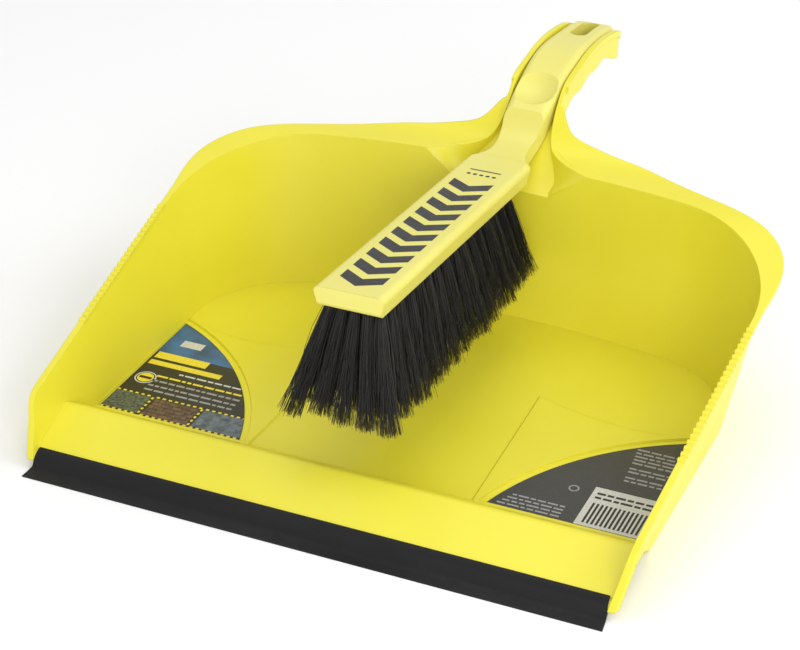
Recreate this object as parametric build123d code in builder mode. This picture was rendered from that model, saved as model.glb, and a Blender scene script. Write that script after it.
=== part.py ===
from build123d import *
import math
import os

# Extra-large dust pan and hand brush, stored with the brush laid in the
# pan's channel handle.  Millimetres, +Z up.  The lip points to -Y, the handle
# to +Y, and x = 0 is the plane of symmetry.  The set rests on z = 0.

# ---- overall ------------------------------------------------------------
LENGTH = 519.0          # lip tip to the end of the pan's handle
LIP_W = 380.0           # length of the rubber lip
BASE = Plane(origin=(0, -LENGTH / 2, 0))
SIDE = Plane(origin=(0, -LENGTH / 2, 0), x_dir=(0, 1, 0), z_dir=(1, 0, 0))

# ---- pan ----------------------------------------------------------------
WALL = 2.5              # moulded wall thickness
FLOOR = 2.5             # well floor thickness
FLARE = 0.2             # outward lean of the walls, mm per mm of height
TAPER = -math.degrees(math.atan(FLARE))
HALF_W = 190.0          # outside half-width at the base
CORNER_R = 76.0         # outside radius of the back corners at the base
CORNER_X = HALF_W - CORNER_R
CORNER_Y = 222.0
BACK_Y = 308.5          # outside of the back wall at the base, on x = 0
TOP_Z = 128.0
CREST_Y = 58.0          # ridge the dust is swept over
CREST_Z = 22.0
WELL_Y = 86.0           # front edge of the well floor
RIM_SLOPE = 0.241       # the side rims rise towards the back
RIM_Z0 = 34.0
RIM_T = 3.2             # rim thickness

# ---- rim ribs -----------------------------------------------------------
RIB_N = 24
RIB_Y0 = 99.0
RIB_PITCH = 4.98        # measured along Y
RIB_R = 1.9
RIB_OVER = 0.35         # how far a rib stands proud of the rim at each end

# ---- labels -------------------------------------------------------------
LABEL_T = 0.3
LABEL_CX = 260.8        # centre of the arc that bounds a label
LABEL_CY = 36.9
LABEL_R = 183.6
RECESS_R = 188.0
RECESS_Z = 2.0
PAD_Z = 3.6

# ---- pan handle ---------------------------------------------------------
CHAN_IN = 17.2          # half-width of the channel
CHAN_OUT = 19.7         # half-width outside the channel walls
CHAN_RIM = 21.2         # half-width over the rolled rim
CHAN_END = 519.0

# ---- brush --------------------------------------------------------------
BLOCK_HW = 23.6
BLOCK_Y0 = 72.8
BLOCK_Y1 = 323.0
BLOCK_Z0 = 136.2        # top of the block at its front end
BLOCK_Z1 = 115.7        # top of the block at its back end
BLOCK_T = 14.4
BLOCK_DRAFT = 3.0       # how far the block's underside is set in from its top
TUFT_ROWS = [-16.4, -8.2, 0.0, 8.2, 16.4]
TUFT_N = 16
TUFT_Y0 = 85.0
TUFT_Y1 = 286.0
TUFT_R = 2.3            # radius of a tuft in its hole
TUFT_DEPTH = 9.0        # depth of a tuft hole
TIP_R = 6.3             # radius of a tuft at its tips
SPREAD = 1.95           # how far the rows fan out sideways
STAPLE = (5.4, 0.5, 1.8)
STAPLE_H = 1.2          # height of a staple above the bottom of its hole

ON_PLANE = (Align.CENTER, Align.CENTER, Align.MIN)


def rim_z(y):
    return RIM_Z0 + RIM_SLOPE * y


def tray_face(plane, inset, front):
    """Plan outline of the tray, inset from its outside, on the given plane."""
    half = HALF_W - inset
    r = CORNER_R - inset
    a1 = math.radians(79.0)
    a0 = a1 / 2
    end = (CORNER_X + r * math.cos(a1), CORNER_Y + r * math.sin(a1))
    mid = (CORNER_X + r * math.cos(a0), CORNER_Y + r * math.sin(a0))
    back = BACK_Y - inset
    with BuildSketch(plane) as outline:
        with BuildLine():
            Line((-half, front), (half, front))
            Line((half, front), (half, CORNER_Y))
            ThreePointArc((half, CORNER_Y), mid, end)
            ThreePointArc(end, (0, back), (-end[0], end[1]))
            ThreePointArc((-end[0], end[1]), (-mid[0], mid[1]), (-half, CORNER_Y))
            Line((-half, CORNER_Y), (-half, front))
        make_face()
    return outline.sketch


def corner_face(plane, side, radius, y1, x1):
    """Front corner of the well bounded by two straight edges and one arc."""
    x0 = LABEL_CX - math.sqrt(radius ** 2 - (y1 - LABEL_CY) ** 2)
    y2 = LABEL_CY + math.sqrt(radius ** 2 - (LABEL_CX - x1) ** 2)
    a = math.radians(141.0)
    mid = (LABEL_CX + radius * math.cos(a), LABEL_CY + radius * math.sin(a))
    with BuildSketch(plane) as outline:
        with BuildLine():
            Polyline((side * x0, y1), (side * x1, y1), (side * x1, y2))
            ThreePointArc((side * x1, y2), (side * mid[0], mid[1]), (side * x0, y1))
        make_face()
    return outline.sketch


def pad_face(plane):
    """Outline of the raised pad around the right-hand label recess."""
    with BuildSketch(plane) as outline:
        with BuildLine():
            Polyline((75.5, 82), (189.3, 82), (189.3, 213))
            Spline((189.3, 213), (165, 204.5), (137, 201), (101, 206), (70.5, 215))
            Line((70.5, 215), (75.5, 82))
        make_face()
    return outline.sketch


# ---- tools that shape the pan -------------------------------------------
with BuildPart() as tray_inside:
    extrude(tray_face(BASE.offset(-10), WALL + FLARE * 10, -60), amount=TOP_Z + 14, taper=TAPER)

# raised pads in the front corners of the well
with BuildPart() as pads:
    extrude(pad_face(BASE.offset(FLOOR - 0.5)), amount=PAD_Z - FLOOR + 0.5, taper=40)
    mirror(about=Plane.YZ)

# air above the ramp and the well floor
with BuildPart() as tray_air:
    with BuildSketch(SIDE.offset(-300)) as air_sketch:
        with BuildLine():
            Polyline(
                (0, 200), (0, 4.5), (12.2, 4.5), (12.2, 5.3), (13.2, 6.9), (14.2, 8.2), (16, 9.2),
                (19, 9.6), (19, 10.4),
                (CREST_Y, CREST_Z), (WELL_Y, FLOOR), (420, FLOOR), (420, 200), (0, 200),
            )
        make_face()
        crest = air_sketch.vertices().filter_by(lambda v: abs(v.Y - CREST_Z) < 0.01)
        fillet(crest, radius=6)
        heel = air_sketch.vertices().filter_by(lambda v: abs(v.Y - FLOOR) < 0.01).sort_by(Axis.X)[0]
        fillet(heel, radius=5)
    extrude(amount=600)
    add(tray_inside.part, mode=Mode.INTERSECT)
    add(pads.part, mode=Mode.SUBTRACT)
    # each pad carries a shallow label recess
    for side in (-1, 1):
        recess = corner_face(BASE.offset(RECESS_Z), side, RECESS_R, WELL_Y + 0.8, HALF_W - WALL + 0.2)
        extrude(recess, amount=3)

# hollow of the channel handle, and the funnel that leads into it from the back wall
def throat_face(z, grow, spread):
    """Plan of the channel, with a mouth that widens towards the tray."""
    c = CHAN_IN + grow
    end = CHAN_END - 3 + grow
    mouth = [(76, 325), (50, 333), (32, 342.5), (22.3, 354), (18.2, 368)]
    pts = []
    for x, y in mouth:
        pts.append((c + (x - CHAN_IN) * spread + (1.0 - spread) * 3.0 * (388 - y) / 63, y + 1.1 * grow))
    with BuildSketch(BASE.offset(z)) as outline:
        with BuildLine():
            Spline(*pts, (c, 388), tangents=[(-1, 0.25), (0, 1)])
            Line((c, 388), (c, 500))
            ThreePointArc((c, 500), (0, end), (-c, 500))
            Line((-c, 500), (-c, 388))
            Spline((-c, 388), *[(-x, y) for x, y in reversed(pts)], tangents=[(0, -1), (-1, -0.25)])
            Polyline((-pts[0][0], pts[0][1]), (-pts[0][0], 290), (pts[0][0], 290), pts[0])
        make_face()
    return outline.sketch


with BuildPart() as throat_air:
    loft([throat_face(86, 0, 0.10), throat_face(120, 0, 1.0)], ruled=True)
    extrude(throat_face(120, 0, 1.0), amount=60)
    with BuildSketch(SIDE.offset(-100)):
        with BuildLine():
            Spline(
                (290, 86.5), (316, 88.5), (331, 93.5), (350, 106), (372, 119), (392, 128.2), (412, 133),
                (430, 134), (448, 136), (466, 136.3), (482, 132), (498, 127), (519, 126),
                tangents=[(1, 0.05), (1, 0)],
            )
            Polyline((519, 126), (519, 200), (290, 200), (290, 86.5))
        make_face()
    extrude(amount=200, mode=Mode.INTERSECT)

# rim: a rolled bead along the sides that opens into a broad flange
with BuildPart() as rim:
    with BuildSketch(BASE):
        with BuildLine():
            Spline(
                (209.3, 232), (211.2, 254), (209.0, 277), (202.5, 291), (193.4, 302), (181.0, 311.5),
                (150, 327), (121, 339), (92, 350.5), (66, 356), (46, 360.5), (31, 367), (22.5, 377),
                (19.5, 388),
                tangents=[(0.05, 1), (0.02, 1)],
            )
            Polyline((209.3, 232), (200.2, 37), (199.2, 29), (197.4, 23.8), (192.6, 11), (-192.6, 11))
            Polyline((-192.6, 11), (-197.4, 23.8), (-199.2, 29), (-200.2, 37), (-209.3, 232))
            Spline(
                (-209.3, 232), (-211.2, 254), (-209.0, 277), (-202.5, 291), (-193.4, 302), (-181.0, 311.5),
                (-150, 327), (-121, 339), (-92, 350.5), (-66, 356), (-46, 360.5), (-31, 367), (-22.5, 377),
                (-19.5, 388),
                tangents=[(-0.05, 1), (-0.02, 1)],
            )
            Line((-19.5, 388), (19.5, 388))
        make_face()
    extrude(amount=180)
    with BuildSketch(SIDE.offset(-300)) as rim_sketch:
        with BuildLine():
            Polyline((11.4, 5.6), (23.8, 29))
            ThreePointArc((23.8, 29), (28.4, 38.2), (37.5, rim_z(37.5)))
            Line((37.5, rim_z(37.5)), (306, rim_z(306)))
            Spline(
                (306, rim_z(306)), (318, 109.6), (338, 109.9), (352, 112.2), (366, 122), (378, 133.3),
                (388, 142),
                tangents=[(1, RIM_SLOPE), (1, 0.8)],
            )
            Line((388, 142), (391, 139.6))
            Spline(
                (391, 139.6), (380, 130.6), (368, 119.6), (354, 109.4), (338, 106.6), (318, 106.4),
                (307, rim_z(307) - RIM_T),
                tangents=[(-1, -0.8), (-1, -RIM_SLOPE)],
            )
            Line((307, rim_z(307) - RIM_T), (39, rim_z(39) - RIM_T - 0.2))
            ThreePointArc((39, rim_z(39) - RIM_T - 0.2), (32, 35.6), (27.2, 27.5))
            Polyline((27.2, 27.5), (15.6, 5.6), (11.4, 5.6))
        make_face()
    extrude(amount=600, mode=Mode.INTERSECT)

with BuildPart() as throat_block:
    loft([throat_face(80, WALL, 0.10), throat_face(120, WALL, 1.0)], ruled=True)
    extrude(throat_face(120, WALL, 1.0), amount=60)

# throat walls and channel handle, before they are hollowed
with BuildPart() as throat_body:
    with BuildSketch(SIDE.offset(-100)):
        with BuildLine():
            Spline(
                (316, 80), (330, 87.5), (350, 101), (370, 114), (390, 124), (404, 129.6), (420, 129),
                (436, 133.2), (452, 132), (466, 134), (480, 129.6), (495, 123.6), (508, 122.2), (519, 125),
                tangents=[(1, 0.5), (1, 0.35)],
            )
            Line((519, 125), (519, 129.3))
            Spline(
                (519, 129.3), (512, 136.2), (503, 141.2), (480, 147.2), (455, 150), (430, 149.4),
                (410, 146.6), (388, 142), (378, 133.3), (366, 122), (352, 112.2), (338, 109.9), (316, 109.4),
                tangents=[(-0.8, 1), (-1, 0)],
            )
            Line((316, 109.4), (316, 80))
        make_face()
    extrude(amount=200)
    add(throat_block.part, mode=Mode.INTERSECT)

# rolled rim of the channel
with BuildPart() as bead:
    with BuildSketch(SIDE.offset(-100)):
        with BuildLine():
            Spline(
                (388, 142), (410, 148), (430, 151), (455, 151.6), (480, 148.8), (503, 142.6), (512, 137.5),
                (519, 130.5),
                tangents=[(1, 0.7), (0.8, -1)],
            )
            Line((519, 130.5), (519, 126))
            Spline(
                (519, 126), (510, 133.4), (501, 138.4), (480, 144.8), (455, 147.6), (430, 147), (410, 144),
                (388, 137.6),
                tangents=[(-0.8, 1), (-1, -0.6)],
            )
            Line((388, 137.6), (388, 142))
        make_face()
    extrude(amount=200)
    with BuildSketch(BASE.offset(90)):
        with BuildLine():
            Line((-CHAN_RIM, 389.5), (CHAN_RIM, 389.5))
            Line((CHAN_RIM, 389.5), (CHAN_RIM, 500))
            ThreePointArc((CHAN_RIM, 500), (0, CHAN_END), (-CHAN_RIM, 500))
            Line((-CHAN_RIM, 500), (-CHAN_RIM, 389.5))
        make_face()
    extrude(amount=90, mode=Mode.INTERSECT)

# grip ribs across the side rims
with BuildPart() as ribs:
    for k in range(RIB_N):
        y = RIB_Y0 + RIB_PITCH * k
        x_in = HALF_W - WALL + FLARE * rim_z(y) - RIB_OVER
        x_out = 200.2 + (y - 37) * 0.0467 + RIB_OVER
        with Locations(Location(((x_in + x_out) / 2, y - LENGTH / 2, rim_z(y) - 0.7), (0, 90, 0))):
            Cylinder(radius=RIB_R, height=x_out - x_in)
    mirror(about=Plane.YZ)

# ---- the pan ------------------------------------------------------------
with BuildPart() as pan:
    # tray body, cut to its side profile
    extrude(tray_face(BASE, 0, -20), amount=TOP_Z, taper=TAPER)
    with BuildSketch(SIDE.offset(-300)):
        with BuildLine():
            Polyline((11.4, 5.3), (11.9, 6.5), (23.8, 29))
            ThreePointArc((23.8, 29), (28.4, 38.2), (37.5, rim_z(37.5)))
            Polyline(
                (37.5, rim_z(37.5)), (310, rim_z(310)), (345, 109.3), (345, -5), (WELL_Y - 2, -5),
                (WELL_Y - 2, 0), (63, 14.2), (29.5, 11.7), (21.5, 8.9), (21.3, 5.3), (11.4, 5.3),
            )
        make_face()
    extrude(amount=600, mode=Mode.INTERSECT)
    add(rim.part)
    add(throat_body.part)
    add(bead.part)
    # hollow it out
    add(tray_air.part, mode=Mode.SUBTRACT)
    add(throat_air.part, mode=Mode.SUBTRACT)
    # open space under the ramp, between the two side walls
    with BuildSketch(SIDE.offset(-(HALF_W - 3.2))):
        with BuildLine():
            Polyline(
                (21.3, 5.0), (21.3, 8.3), (CREST_Y, CREST_Z - 3.4), (60.5, CREST_Z - 3.6),
                (WELL_Y - 3.6, 0), (WELL_Y - 3.6, -3), (21.3, -3), (21.3, 5.0),
            )
        make_face()
    extrude(amount=2 * (HALF_W - 3.2), mode=Mode.SUBTRACT)
    add(ribs.part)
pan.part.label = "pan"

# ---- rubber lip ----------------------------------------------------------
# a clip-on strip: it wraps the pan's front edge and tapers to a sweeping blade
with BuildPart() as lip:
    with BuildSketch(SIDE.offset(-LIP_W / 2)):
        with BuildLine():
            Polyline((0, 0), (0, 0.6), (6, 1.2), (9.6, 1.9))
            Spline(
                (9.6, 1.9), (11.2, 3.8), (13.2, 7.4), (15.8, 9.9), (19.0, 11.3),
                tangents=[(1, 0.35), (1, 0.25)],
            )
            Polyline(
                (19.0, 11.3), (19.0, 9.6), (16, 9.2), (14.2, 8.2), (13.2, 6.9), (12.2, 5.3), (21.2, 5.3),
                (21.2, 3.8), (12.2, 1.2), (9, 0), (0, 0),
            )
        make_face()
    extrude(amount=LIP_W)
    with BuildSketch(BASE.offset(-1)):
        with BuildLine():
            Polyline(
                (-LIP_W / 2, 0), (LIP_W / 2, 0), (LIP_W / 2 - 2.4, 19), (LIP_W / 2 - 3.4, 22),
                (-LIP_W / 2 + 3.4, 22), (-LIP_W / 2 + 2.4, 19), (-LIP_W / 2, 0),
            )
        make_face()
    extrude(amount=20, mode=Mode.INTERSECT)
lip.part.label = "rubber_lip"


# ---- labels --------------------------------------------------------------
with BuildPart() as label_left:
    extrude(corner_face(BASE.offset(RECESS_Z), -1, LABEL_R, WELL_Y + 2, 187.0), amount=LABEL_T)
label_left.part.label = "label_left"

with BuildPart() as label_right:
    extrude(corner_face(BASE.offset(RECESS_Z), 1, LABEL_R, WELL_Y + 2, 187.0), amount=LABEL_T)
label_right.part.label = "label_right"

# ---- brush stock ---------------------------------------------------------
BLOCK_SLOPE = (BLOCK_Z1 - BLOCK_Z0) / (BLOCK_Y1 - BLOCK_Y0)


def block_bottom(y):
    return BLOCK_Z0 - BLOCK_T + BLOCK_SLOPE * (y - BLOCK_Y0)


def tuft_frame(row, k):
    """Plane at the bottom of a tuft hole, its normal along the tuft, and the tuft's length."""
    t = k / (TUFT_N - 1)
    y0 = TUFT_Y0 + (TUFT_Y1 - TUFT_Y0) * t
    x0 = TUFT_ROWS[row]
    z0 = block_bottom(y0)
    y1 = y0 - 24.0 * (1 - t) ** 2 + 3.0 * t * t
    x1 = x0 * SPREAD
    z1 = 53.0 - 6.0 * t
    axis = Vector(x1 - x0, y1 - y0, z1 - z0)
    length = axis.length
    axis = axis.normalized()
    root = Vector(x0, y0 - LENGTH / 2, z0) - axis * TUFT_DEPTH
    return Plane(origin=root, x_dir=(1, 0, 0), z_dir=axis), length + TUFT_DEPTH


BLOCK_TILT = math.atan(BLOCK_SLOPE)
BLOCK_LEN = (BLOCK_Y1 - BLOCK_Y0) / math.cos(BLOCK_TILT)
BLOCK_PLANE = Plane(
    origin=(0, BLOCK_Y0 - LENGTH / 2, BLOCK_Z0 - BLOCK_T),
    x_dir=(1, 0, 0),
    z_dir=(0, -math.sin(BLOCK_TILT), math.cos(BLOCK_TILT)),
)

# block that carries the bristles
with BuildPart() as block:
    with BuildSketch(BLOCK_PLANE) as block_plan:
        with Locations((0, BLOCK_LEN / 2)):
            Rectangle(2 * (BLOCK_HW - BLOCK_DRAFT), BLOCK_LEN - 2 * BLOCK_DRAFT)
        fillet(block_plan.vertices().group_by(Axis.Y)[-1], radius=8)
    extrude(amount=BLOCK_T, taper=-math.degrees(math.atan(BLOCK_DRAFT / BLOCK_T)))
    top = block.faces().sort_by(Axis((0, 0, 0), BLOCK_PLANE.z_dir))[-1]
    rolled = top.edges().sort_by(Axis.Y)[1:]
    fillet(rolled, radius=4.2)
    front = block.faces().sort_by(Axis.Y)[0]
    fillet(front.edges().sort_by(Axis.Z)[0], radius=4.0)

# handle and neck
with BuildPart() as grip:
    with BuildSketch(SIDE.offset(-60)):
        with BuildLine():
            Line((300, 108.0), (300, 117.0))
            Spline(
                (300, 117.0), (319, 115.6), (336, 116.0), (348, 119.0), (357, 125.5), (362.5, 133.6),
                tangents=[(1, BLOCK_SLOPE), (0.8, 1)],
            )
            Spline(
                (362.5, 133.6), (376, 139.6), (392, 145.6), (408, 150.6), (427, 153.6), (445, 153.2),
                (461, 151.6), (480, 149.6), (498, 146.8), (509, 142.6), (514, 137.0),
                tangents=[(1, 0.45), (0.25, -1)],
            )
            Line((514, 137.0), (513, 131.5))
            Spline(
                (513, 131.5), (500, 134), (481, 137.4), (461, 139.2), (440, 139.6), (420, 138.6),
                (400, 134), (384, 127.5), (370, 119), (352, 109.4), (336, 104.5), (318, 104.0), (300, 108.0),
                tangents=[(-1, 0.15), (-1, 0.3)],
            )
        make_face()
    extrude(amount=120)
    with BuildSketch(BASE.offset(60)):
        with BuildLine():
            Line((0, 296), (17, 296))
            Line((17, 296), (17, 321.5))
            Spline(
                (17, 321.5), (13.6, 328.5), (12.6, 343), (14.4, 358), (15.2, 372),
                tangents=[(-1, 1), (0.05, 1)],
            )
            Spline(
                (15.2, 372), (16.2, 400), (16.3, 440), (15.9, 480), (15.2, 500),
                tangents=[(0.05, 1), (-0.05, 1)],
            )
            ThreePointArc((15.2, 500), (10.6, 510.4), (0, 514.5))
            mirror(about=Plane.YZ)
        make_face()
    extrude(amount=120, mode=Mode.INTERSECT)
    shoulders = grip.edges().filter_by(
        lambda e: e.bounding_box().min.Y > 362 - LENGTH / 2
        and e.bounding_box().min.Z > 136.5
        and e.bounding_box().size.Y > 1.5
    )
    fillet(shoulders, radius=5)

with BuildPart() as brush_stock:
    add(block.part)
    add(grip.part)
    # thumb rest
    with Locations((0, 374.5 - LENGTH / 2, 138.8 + 23.6)):
        Sphere(radius=27.5, mode=Mode.SUBTRACT)
    # hanging slot
    with BuildSketch(BASE.offset(100)):
        with Locations((0, 481)):
            SlotOverall(39, 12.5, rotation=90)
    extrude(amount=80, mode=Mode.SUBTRACT)
    # tuft holes, each with a seat for the staple that anchors the tuft
    holes = [tuft_frame(row, k)[0] for row in range(len(TUFT_ROWS)) for k in range(TUFT_N)]
    with Locations(*holes):
        Cylinder(radius=TUFT_R, height=30, align=ON_PLANE, mode=Mode.SUBTRACT)
    with Locations(*[hole.offset(STAPLE_H) for hole in holes]):
        Box(*STAPLE, align=ON_PLANE, mode=Mode.SUBTRACT)
brush_stock.part.label = "brush_stock"


# ---- bristles, and the staples that anchor them -----------------------------
tuft_rows = []
staple_rows = []
for row in range(len(TUFT_ROWS)):
    frames = [tuft_frame(row, k) for k in range(TUFT_N)]
    with BuildPart() as tufts:
        for plane, length in frames:
            with Locations(plane):
                Cylinder(radius=TUFT_R, height=TUFT_DEPTH + 1, align=ON_PLANE)
            with Locations(plane.offset(TUFT_DEPTH + 1)):
                Cone(
                    bottom_radius=TUFT_R,
                    top_radius=TIP_R,
                    height=length - TUFT_DEPTH - 1,
                    align=ON_PLANE,
                )
        with Locations(*[plane.offset(STAPLE_H) for plane, length in frames]):
            Box(*STAPLE, align=ON_PLANE, mode=Mode.SUBTRACT)
    tufts.part.label = f"tufts_row_{row + 1}"
    tuft_rows.append(tufts.part)
    with BuildPart() as staples:
        with Locations(*[plane.offset(STAPLE_H) for plane, length in frames]):
            Box(*STAPLE, align=ON_PLANE)
    staples.part.label = f"staples_row_{row + 1}"
    staple_rows.append(staples.part)

os.makedirs("parts", exist_ok=True)
export_step(pan.part, "parts/pan.step")
export_step(lip.part, "parts/rubber_lip.step")
export_step(label_left.part, "parts/label_left.step")
export_step(label_right.part, "parts/label_right.step")
export_step(brush_stock.part, "parts/brush_stock.step")
for row in range(len(TUFT_ROWS)):
    export_step(tuft_rows[row], f"parts/tufts_row_{row + 1}.step")
    export_step(staple_rows[row], f"parts/staples_row_{row + 1}.step")
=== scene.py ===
"""Looks for the dust pan and brush set: moulded yellow plastic, rubber lip, printed labels, bristles."""
import math
import random

import bmesh
import bpy
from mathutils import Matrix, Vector


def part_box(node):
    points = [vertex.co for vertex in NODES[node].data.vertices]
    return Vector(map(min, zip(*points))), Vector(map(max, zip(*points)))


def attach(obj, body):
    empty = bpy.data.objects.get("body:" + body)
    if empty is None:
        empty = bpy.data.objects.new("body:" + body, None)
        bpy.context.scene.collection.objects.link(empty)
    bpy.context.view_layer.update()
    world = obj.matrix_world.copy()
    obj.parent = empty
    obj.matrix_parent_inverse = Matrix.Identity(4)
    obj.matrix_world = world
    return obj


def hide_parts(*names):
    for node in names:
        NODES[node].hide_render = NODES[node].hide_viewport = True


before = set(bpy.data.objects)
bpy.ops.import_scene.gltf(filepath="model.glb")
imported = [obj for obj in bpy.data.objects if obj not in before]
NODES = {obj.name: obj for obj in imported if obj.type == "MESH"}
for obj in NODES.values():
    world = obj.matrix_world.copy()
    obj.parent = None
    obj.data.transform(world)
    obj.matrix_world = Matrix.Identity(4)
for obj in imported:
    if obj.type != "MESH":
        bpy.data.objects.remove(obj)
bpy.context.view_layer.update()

MM = 0.001
random.seed(11)

# ---- places, from the frame ------------------------------------------------
LIP_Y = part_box("rubber_lip")[0][1]          # y of the lip's tip
LABEL_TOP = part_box("label_right")[1][2]     # height of the labels' upper face
ROWS = 5

# the block's flat top, mm from the lip and from the floor
BLOCK_FRONT = (72.8, 136.2)
BLOCK_SLOPE = -20.5 / 250.2

# ---- bristles ----------------------------------------------------------------
HAIRS = 165                  # filaments in a tuft
HAIR_R = 0.2 * MM
HAIR_RINGS = 7
TUFT_R = 2.1 * MM            # radius of a tuft where it leaves the block
TIP_R = 7.5 * MM             # radius of a tuft at its tips


# ---- materials -----------------------------------------------------------------
def new_material(name):
    mat = bpy.data.materials.new(name)
    mat.use_nodes = True
    return mat, mat.node_tree, mat.node_tree.nodes["Principled BSDF"]


def add_node(tree, kind, **values):
    node = tree.nodes.new(kind)
    for key, value in values.items():
        if hasattr(node, key):
            setattr(node, key, value)
        else:
            node.inputs[key].default_value = value
    return node


def noise(tree, scale, detail=3.0, rough=0.5, stretch=(1, 1, 1)):
    """Noise in metres, stretched along an axis where asked."""
    coords = tree.nodes.new("ShaderNodeTexCoord")
    mapping = tree.nodes.new("ShaderNodeMapping")
    mapping.inputs["Scale"].default_value = stretch
    tree.links.new(coords.outputs["Object"], mapping.inputs["Vector"])
    tex = add_node(tree, "ShaderNodeTexNoise", Scale=scale, Detail=detail, Roughness=rough)
    tree.links.new(mapping.outputs["Vector"], tex.inputs["Vector"])
    return tex.outputs["Fac"]


def ramp(tree, fac, stops):
    node = tree.nodes.new("ShaderNodeValToRGB")
    tree.links.new(fac, node.inputs["Fac"])
    elements = node.color_ramp.elements
    while len(elements) < len(stops):
        elements.new(0.5)
    for element, (pos, value) in zip(elements, stops):
        element.position = pos
        colour = value if isinstance(value, tuple) else (value, value, value)
        element.color = (*colour, 1)
    return node.outputs["Color"]


def bump(tree, height, strength, distance, normal=None):
    node = add_node(tree, "ShaderNodeBump", Strength=strength, Distance=distance)
    tree.links.new(height, node.inputs["Height"])
    if normal is not None:
        tree.links.new(normal, node.inputs["Normal"])
    return node.outputs["Normal"]


def moulded(name, low, high, rough=(0.3, 0.42), grain=1800.0, grain_depth=0.02 * MM, soft=0.08):
    """Satin moulded plastic: faint colour drift, fine grain, long flow waves, scuffs, eased edges."""
    mat, tree, bsdf = new_material(name)
    tree.links.new(ramp(tree, noise(tree, 9, 4), [(0.3, low), (0.7, high)]), bsdf.inputs["Base Color"])
    tree.links.new(
        ramp(tree, noise(tree, 60, 6, 0.65, (1, 0.35, 1)), [(0.3, rough[0]), (0.75, rough[1])]),
        bsdf.inputs["Roughness"],
    )
    eased = add_node(tree, "ShaderNodeBevel", samples=4, Radius=0.9 * MM)
    waves = bump(tree, noise(tree, 28, 1), 0.35, 0.25 * MM, eased.outputs["Normal"])
    tree.links.new(bump(tree, noise(tree, grain, 2), 0.5, grain_depth, waves), bsdf.inputs["Normal"])
    bsdf.inputs["IOR"].default_value = 1.49
    bsdf.inputs["Subsurface Weight"].default_value = soft
    bsdf.inputs["Subsurface Radius"].default_value = (1.0, 0.8, 0.15)
    bsdf.inputs["Subsurface Scale"].default_value = 2.5 * MM
    return mat


def rubber(name):
    """Extruded rubber: faint lengthwise die lines and dust in the grain."""
    mat, tree, bsdf = new_material(name)
    tree.links.new(
        ramp(
            tree, noise(tree, 45, 6, 0.7, (0.25, 1, 1)),
            [(0.3, (0.006, 0.006, 0.0065)), (0.8, (0.012, 0.012, 0.013))],
        ),
        bsdf.inputs["Base Color"],
    )
    gloss = ramp(tree, noise(tree, 90, 5, 0.6), [(0.3, 0.42), (0.75, 0.6)])
    tree.links.new(gloss, bsdf.inputs["Roughness"])
    lines = bump(tree, noise(tree, 900, 2, 0.5, (0.01, 1, 1)), 0.5, 0.05 * MM)
    tree.links.new(bump(tree, noise(tree, 2500, 2), 0.4, 0.02 * MM, lines), bsdf.inputs["Normal"])
    bsdf.inputs["Specular IOR Level"].default_value = 0.28
    return mat


def printed(name, colour, vary=0.12, rough=0.34, scale=900.0, contrast=None):
    """Ink under a laminate: a fine print grain and faint ripples in the film."""
    mat, tree, bsdf = new_material(name)
    dark = tuple(c * (1 - vary) for c in colour)
    light = tuple(min(1.0, c * (1 + vary)) for c in colour)
    if contrast:
        dark, light = contrast
    ink = ramp(tree, noise(tree, scale, 3), [(0.35, dark), (0.65, light)])
    tree.links.new(ink, bsdf.inputs["Base Color"])
    gloss = ramp(tree, noise(tree, 120, 3), [(0.3, rough - 0.05), (0.7, rough + 0.08)])
    tree.links.new(gloss, bsdf.inputs["Roughness"])
    tree.links.new(bump(tree, noise(tree, 110, 2), 0.3, 0.05 * MM), bsdf.inputs["Normal"])
    return mat


def bristle_material(name):
    """Dark filament; each one has its own shade, and the tips are scuffed paler."""
    mat, tree, bsdf = new_material(name)
    shade = add_node(tree, "ShaderNodeAttribute", attribute_name="shade")
    tree.links.new(
        ramp(
            tree, shade.outputs["Fac"],
            [(0.0, (0.009, 0.009, 0.008)), (0.55, (0.03, 0.028, 0.023)), (1.0, (0.10, 0.085, 0.065))],
        ),
        bsdf.inputs["Base Color"],
    )
    tree.links.new(ramp(tree, noise(tree, 700, 2), [(0.3, 0.34), (0.7, 0.5)]), bsdf.inputs["Roughness"])
    return mat


def steel(name):
    mat, tree, bsdf = new_material(name)
    tree.links.new(ramp(tree, noise(tree, 800, 4), [(0.3, 0.4), (0.7, 0.55)]), bsdf.inputs["Base Color"])
    tree.links.new(ramp(tree, noise(tree, 1500, 3), [(0.3, 0.25), (0.7, 0.4)]), bsdf.inputs["Roughness"])
    bsdf.inputs["Metallic"].default_value = 1.0
    return mat


def paint(node, mat):
    """Gives each material slot of a CAD node the one material."""
    for material_slot in NODES[node].material_slots:
        material_slot.material = mat


PAN = moulded("pan_yellow", (0.80, 0.72, 0.035), (0.84, 0.765, 0.052))
BRUSH = moulded("brush_yellow", (0.77, 0.71, 0.15), (0.81, 0.75, 0.19), rough=(0.28, 0.4))
BLACK = printed("print_black", (0.012, 0.012, 0.013), 0.3)
paint("pan", PAN)
paint("brush_stock", BRUSH)
paint("rubber_lip", rubber("lip_rubber"))
LABEL_DARK = printed("label_dark", (0.045, 0.045, 0.048), 0.15)
LABEL_BLACK = printed("label_black", (0.014, 0.014, 0.015), 0.2)
paint("label_left", LABEL_BLACK)
paint("label_right", LABEL_DARK)
STEEL = steel("staple_steel")
for row in range(ROWS):
    paint(f"staples_row_{row + 1}", STEEL)


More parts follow.
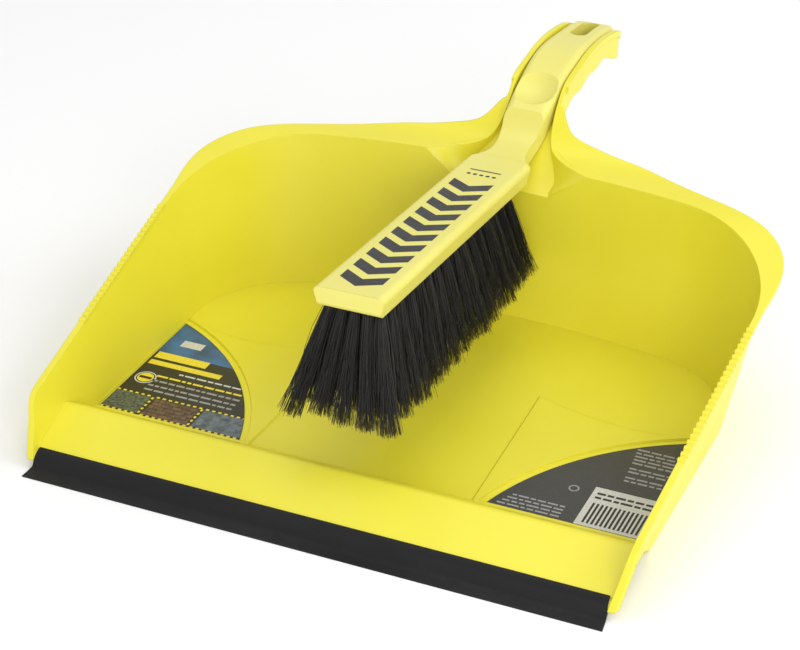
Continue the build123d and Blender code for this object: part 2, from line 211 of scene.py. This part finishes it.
# ---- flat print ------------------------------------------------------------------
def clip(points, keep):
    """Polygon cut by a half-plane: keep is (nx, ny, d), and nx*x + ny*y <= d stays."""
    nx, ny, d = keep
    out = []
    for i, p in enumerate(points):
        q = points[(i + 1) % len(points)]
        dp = nx * p[0] + ny * p[1] - d
        dq = nx * q[0] + ny * q[1] - d
        if dp <= 0:
            out.append(p)
        if (dp < 0 < dq) or (dq < 0 < dp):
            t = dp / (dp - dq)
            out.append((p[0] + (q[0] - p[0]) * t, p[1] + (q[1] - p[1]) * t))
    return out


INK_STEP = 0.03            # rise from one layer of print to the next, mm


class Print:
    """Flat ink shapes on a plane, one mesh, one material a colour."""

    def __init__(self, name, place, keeps=()):
        self.name = name
        self.place = place
        self.keeps = keeps
        self.verts = []
        self.faces = []
        self.slots = []
        self.materials = []

    def polygon(self, points, material, layer=1):
        for keep in self.keeps:
            points = clip(points, keep)
            if len(points) < 3:
                return
        if material not in self.materials:
            self.materials.append(material)
        start = len(self.verts)
        self.verts += [self.place(x, y, INK_STEP * layer) for x, y in points]
        self.faces.append(range(start, len(self.verts)))
        self.slots.append(self.materials.index(material))

    def bar(self, x0, y0, x1, y1, material, layer=1):
        self.polygon([(x0, y0), (x1, y0), (x1, y1), (x0, y1)], material, layer)

    def words(self, x0, x1, y, height, material, layer=1, gap=1.2, seed=0):
        """A line of plain dashes of mixed lengths, where small print would be."""
        rng = random.Random(seed)
        x = x0
        while x < x1 - 1.5:
            length = min(rng.uniform(2.5, 8.5), x1 - x)
            self.bar(x, y, x + length, y + height, material, layer)
            x += length + gap

    def disc(self, cx, cy, radius, material, layer=1, n=40):
        turn = [2 * math.pi * k / n for k in range(n)]
        edge = [(cx + radius * math.cos(a), cy + radius * math.sin(a)) for a in turn]
        self.polygon(edge, material, layer)

    def build(self, body):
        mesh = bpy.data.meshes.new(self.name)
        mesh.from_pydata(self.verts, [], [list(f) for f in self.faces])
        for material in self.materials:
            mesh.materials.append(material)
        for polygon, index in zip(mesh.polygons, self.slots):
            polygon.material_index = index
        obj = bpy.data.objects.new(self.name, mesh)
        bpy.context.collection.objects.link(obj)
        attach(obj, body)
        return obj


# a label is a corner cut off by an arc: 102.5 x 117 mm, seen here in mm from the set's middle and the lip
ARC = (260.8, 36.9, 183.6)


def label_place(x, y, up):
    return (x * MM, LIP_Y + y * MM, LABEL_TOP + up * MM)


def label_edges(side, margin=0.4, n=36):
    """Half-planes that bound a label, as many as make its arc smooth."""
    keeps = [(side, 0, 187.0 - margin), (0, -1, -(88.0 + margin))]
    for k in range(n + 1):
        a = math.radians(100 + 70 * k / n)
        nx, ny = math.cos(a) * side, math.sin(a)
        keeps.append((nx, ny, nx * ARC[0] * side + ny * ARC[1] + ARC[2] - margin))
    return keeps


BLUE = printed("label_blue", (0.03, 0.12, 0.28), 0.35, scale=60)
YELLOW_INK = printed("ink_yellow", (0.83, 0.68, 0.05))
PALE_INK = printed("ink_pale", (0.62, 0.62, 0.58))
MID_INK = printed("ink_mid", (0.32, 0.32, 0.33))
GRAVEL = printed(
    "picture_gravel", (0.06, 0.08, 0.06),
    contrast=((0.02, 0.03, 0.025), (0.14, 0.17, 0.13)), scale=420,
)
BRICK = printed(
    "picture_brick", (0.12, 0.06, 0.04),
    contrast=((0.07, 0.035, 0.025), (0.2, 0.11, 0.07)), scale=300,
)
SLATE = printed(
    "picture_slate", (0.09, 0.12, 0.15),
    contrast=((0.05, 0.07, 0.09), (0.16, 0.2, 0.24)), scale=220,
)


def left_label():
    art = Print("label_left_print", label_place, label_edges(-1))
    art.bar(-187, 168, -80, 210, BLUE)
    art.polygon([(-187, 172), (-187, 168), (-60, 168), (-60, 164), (-187, 164)], BLUE)
    # two plain bars, where a title would be
    art.bar(-185, 156.5, -146, 164.5, YELLOW_INK, 2)
    art.bar(-185, 148, -131, 153.5, YELLOW_INK, 2)
    art.bar(-176, 176, -160, 184, PALE_INK, 2)
    art.words(-158, -110, 142, 1.7, PALE_INK, 2, seed=1)
    for k, y in enumerate((135, 129, 123, 117.5)):
        art.words(-171, -106, y, 2.0, YELLOW_INK if k == 0 else MID_INK, 2, seed=2 + k)
    art.disc(-177, 131, 7.4, PALE_INK, 2)
    art.disc(-177, 131, 6.4, BLACK, 3)
    art.disc(-177, 131, 5.6, YELLOW_INK, 4)
    art.bar(-181.5, 129.6, -172.5, 132.4, BLACK, 5)
    # three square pictures of ground that the brush suits
    panels = ((-187, -161, GRAVEL), (-157.5, -124.5, BRICK), (-121, -80, SLATE))
    for x0, x1, picture in panels:
        art.bar(x0, 90, x1, 111, picture, 2)
    # hairline joints in the brick picture
    for k in range(5):
        art.bar(-157.5, 94 + 4 * k, -124.5, 94.6 + 4 * k, BLACK, 3)
        for j in range(5):
            x = -157.5 + 7.5 * j + 3.7 * (k % 2)
            art.bar(x, 94.6 + 4 * k, x + 0.6, 98 + 4 * k, BLACK, 3)
    # dashed borders
    for x0, x1, picture in panels:
        n = int((x1 - x0) / 4.5)
        for k in range(n + 1):
            art.bar(x0 + 4.5 * k, 88.4, x0 + 4.5 * k + 2.3, 90, YELLOW_INK, 4)
            art.bar(x0 + 4.5 * k, 111, x0 + 4.5 * k + 2.3, 112.6, YELLOW_INK, 4)
        for k in range(5):
            art.bar(x1 + 0.6, 90.5 + 4.5 * k, x1 + 2.2, 92.8 + 4.5 * k, YELLOW_INK, 4)
    return art.build("pan")


def right_label():
    art = Print("label_right_print", label_place, label_edges(1))
    y = 180.0
    for k in range(9):
        art.words(150 + 0.4 * k, 184, y, 1.7, MID_INK, seed=20 + k)
        y -= 3.9 if k not in (4, 6) else 6.5
    for k in range(4):
        art.words(90 + 2 * k, 130, 91 + 3.7 * k, 1.5, MID_INK, seed=40 + k)
    # a small round mark
    art.disc(128, 124, 3.4, MID_INK)
    art.disc(128, 124, 2.4, LABEL_DARK, 2)
    # a pale box with plain bars
    art.bar(140, 89, 187, 131, PALE_INK, 2)
    for k in range(2):
        art.words(143, 185, 123.5 - 4.6 * k, 2.2, BLACK, 3, seed=50 + k)
    for k in range(15):
        art.bar(144 + 2.8 * k, 92, 145.5 + 2.8 * k, 114, BLACK, 3)
    return art.build("pan")


# ---- bristles --------------------------------------------------------------------------
def loose_parts(obj):
    """Vertex positions of each separate solid in a node."""
    bm = bmesh.new()
    bm.from_mesh(obj.data)
    bmesh.ops.remove_doubles(bm, verts=bm.verts, dist=0.001 * MM)
    seen = set()
    parts = []
    for vert in bm.verts:
        if vert in seen:
            continue
        stack = [vert]
        seen.add(vert)
        part = []
        while stack:
            v = stack.pop()
            part.append(v.co.copy())
            for edge in v.link_edges:
                other = edge.other_vert(v)
                if other not in seen:
                    seen.add(other)
                    stack.append(other)
        parts.append(part)
    bm.free()
    return sorted(parts, key=lambda part: sum(p.y for p in part) / len(part))


def centre(points):
    return sum(points, Vector()) / len(points)


def tuft_axes(row):
    """Root and tip of each tuft in a row: its staple, and the middle of its far end."""
    roots = [centre(part) for part in loose_parts(NODES[f"staples_row_{row}"])]
    axes = []
    for root, part in zip(roots, loose_parts(NODES[f"tufts_row_{row}"])):
        reach = max((p - root).length for p in part)
        far = [p for p in part if (p - root).length > reach - 2 * MM]
        axes.append((root, centre(far)))
    return axes


def grow_row(row, material):
    """One mesh of all the filaments in a row of tufts."""
    rng = random.Random(100 + row)
    verts = []
    faces = []
    shades = []
    for root, tip in tuft_axes(row):
        axis = (tip - root).normalized()
        side = axis.cross(Vector((0, 1, 0))).normalized()
        fore = axis.cross(side)
        reach = (tip - root).length
        lean = Vector((rng.gauss(0, 1.2), rng.gauss(0, 1.2), 0)) * MM
        tuft_cut = rng.uniform(-2.2, 1.2) * MM
        for k in range(HAIRS):
            r = math.sqrt(rng.random())
            a = rng.uniform(0, 2 * math.pi)
            spread = r * TIP_R * rng.uniform(0.85, 1.18)
            if rng.random() < 0.06:
                spread *= rng.uniform(1.15, 1.6)
            start = root + (side * math.cos(a) + fore * math.sin(a)) * r * TUFT_R
            length = reach + tuft_cut + rng.gauss(0, 0.9) * MM - r * r * 1.6 * MM
            if rng.random() < 0.05:
                length -= rng.uniform(2, 9) * MM
            wander = a + rng.gauss(0, 0.35)
            out = (side * math.cos(wander) + fore * math.sin(wander)) * (spread - r * TUFT_R) + lean
            bend = (side * rng.gauss(0, 1) + fore * rng.gauss(0, 1)) * 1.1 * MM
            tone = rng.random() ** 2 * 0.55
            base = len(verts)
            for ring in range(HAIR_RINGS):
                t = ring / (HAIR_RINGS - 1)
                middle = start + axis * length * t + out * t ** 1.35 + bend * math.sin(math.pi * t * 1.3)
                radius = HAIR_R * (1.0 - 0.45 * t ** 3)
                for corner in range(3):
                    b = 2 * math.pi * corner / 3 + a
                    verts.append(middle + (side * math.cos(b) + fore * math.sin(b)) * radius)
                    shades.append(min(1.0, tone + 0.5 * max(0.0, t - 0.82) / 0.18))
            for ring in range(HAIR_RINGS - 1):
                p = base + 3 * ring
                for corner in range(3):
                    n = (corner + 1) % 3
                    faces.append((p + corner, p + n, p + 3 + n, p + 3 + corner))
            faces.append((base, base + 2, base + 1))
            last = base + 3 * (HAIR_RINGS - 1)
            faces.append((last, last + 1, last + 2))
    mesh = bpy.data.meshes.new(f"bristles_row_{row}")
    mesh.from_pydata(verts, [], faces)
    mesh.materials.append(material)
    mesh.shade_smooth()
    attribute = mesh.attributes.new("shade", "FLOAT", "POINT")
    attribute.data.foreach_set("value", shades)
    obj = bpy.data.objects.new(f"bristles_row_{row}", mesh)
    bpy.context.collection.objects.link(obj)
    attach(obj, "brush")
    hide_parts(f"tufts_row_{row}")
    return obj


BRISTLE = bristle_material("bristle_black")
for row in range(1, ROWS + 1):
    grow_row(row, BRISTLE)

left_label()
right_label()


# ---- brush print: bold chevrons, with a row of dots near the handle ----------------
BRUSH_INK_LIFT = 0.07      # height of the print's lowest layer over the block, mm, less one step
CHEVRONS = 10
CHEVRON_START = 84         # y of the first chevron's point, mm
CHEVRON_PITCH = 18.4
CHEVRON_HALF = 14          # half-width
CHEVRON_RISE = 9           # how far its arms climb over the half-width
CHEVRON_BAND = 11          # width of its stroke along y
DOTS = 5
DOT_PITCH = 4.5
DOT_Y = 282
DOT_R = 1.5


def brush_print():
    def place(x, y, up):
        height = BLOCK_FRONT[1] + BLOCK_SLOPE * (y - BLOCK_FRONT[0])
        return (x * MM, LIP_Y + y * MM, (height + BRUSH_INK_LIFT + up) * MM)

    art = Print("brush_print", place)
    for k in range(CHEVRONS):
        y = CHEVRON_START + CHEVRON_PITCH * k
        for side in (-1, 1):
            edge = side * CHEVRON_HALF
            low = (edge, y + CHEVRON_RISE)
            high = (edge, y + (CHEVRON_RISE + CHEVRON_BAND))
            art.polygon([(0, y), low, high, (0, y + CHEVRON_BAND)], BLACK)
    for k in range(DOTS):
        art.disc(DOT_PITCH * (k - (DOTS - 1) / 2), DOT_Y, DOT_R, BLACK, n=20)
    art.bar(-11, 289, 11, 290.6, BLACK)
    return art.build("brush")


brush_print()


# ---- floor, light and camera ------------------------------------------------------------
def floor():
    mesh = bpy.data.meshes.new("floor")
    half = 6.0
    corners = [(-half, -half, 0), (half, -half, 0), (half, half, 0), (-half, half, 0)]
    mesh.from_pydata(corners, [], [(0, 1, 2, 3)])
    obj = bpy.data.objects.new("floor", mesh)
    bpy.context.collection.objects.link(obj)
    mat, tree, bsdf = new_material("studio_floor")
    bsdf.inputs["Base Color"].default_value = (0.97, 0.97, 0.97, 1)
    bsdf.inputs["Roughness"].default_value = 0.75
    mesh.materials.append(mat)


def area_light(name, place, target, size, power):
    data = bpy.data.lights.new(name, "AREA")
    data.shape = "RECTANGLE"
    data.size, data.size_y = size
    data.energy = power
    obj = bpy.data.objects.new(name, data)
    bpy.context.collection.objects.link(obj)
    obj.location = place
    obj.rotation_euler = (Vector(target) - Vector(place)).to_track_quat("-Z", "Y").to_euler()


floor()
area_light("key", (0.9, -1.6, 0.85), (0, 0.1, 0.08), (1.2, 0.9), 16)
area_light("side", (1.5, 0.5, 1.3), (0, 0, 0.05), (1.2, 1.2), 11)
area_light("top", (-0.1, 0.6, 2.1), (0, 0.05, 0), (1.6, 1.2), 7)

world = bpy.data.worlds.new("studio")
bpy.context.scene.world = world
world.use_nodes = True
world.node_tree.nodes["Background"].inputs["Color"].default_value = (1, 1, 1, 1)
world.node_tree.nodes["Background"].inputs["Strength"].default_value = 0.7
bpy.context.scene.view_settings.view_transform = "Standard"

camera_data = bpy.data.cameras.new("camera")
camera_data.sensor_width = 36.0
camera_data.lens = 97.65
camera = bpy.data.objects.new("camera", camera_data)
bpy.context.collection.objects.link(camera)
camera.location = (0.4786, -1.1851, 0.7537)
camera.rotation_euler = (math.radians(60.0), 0, math.radians(24.0))
bpy.context.scene.camera = camera
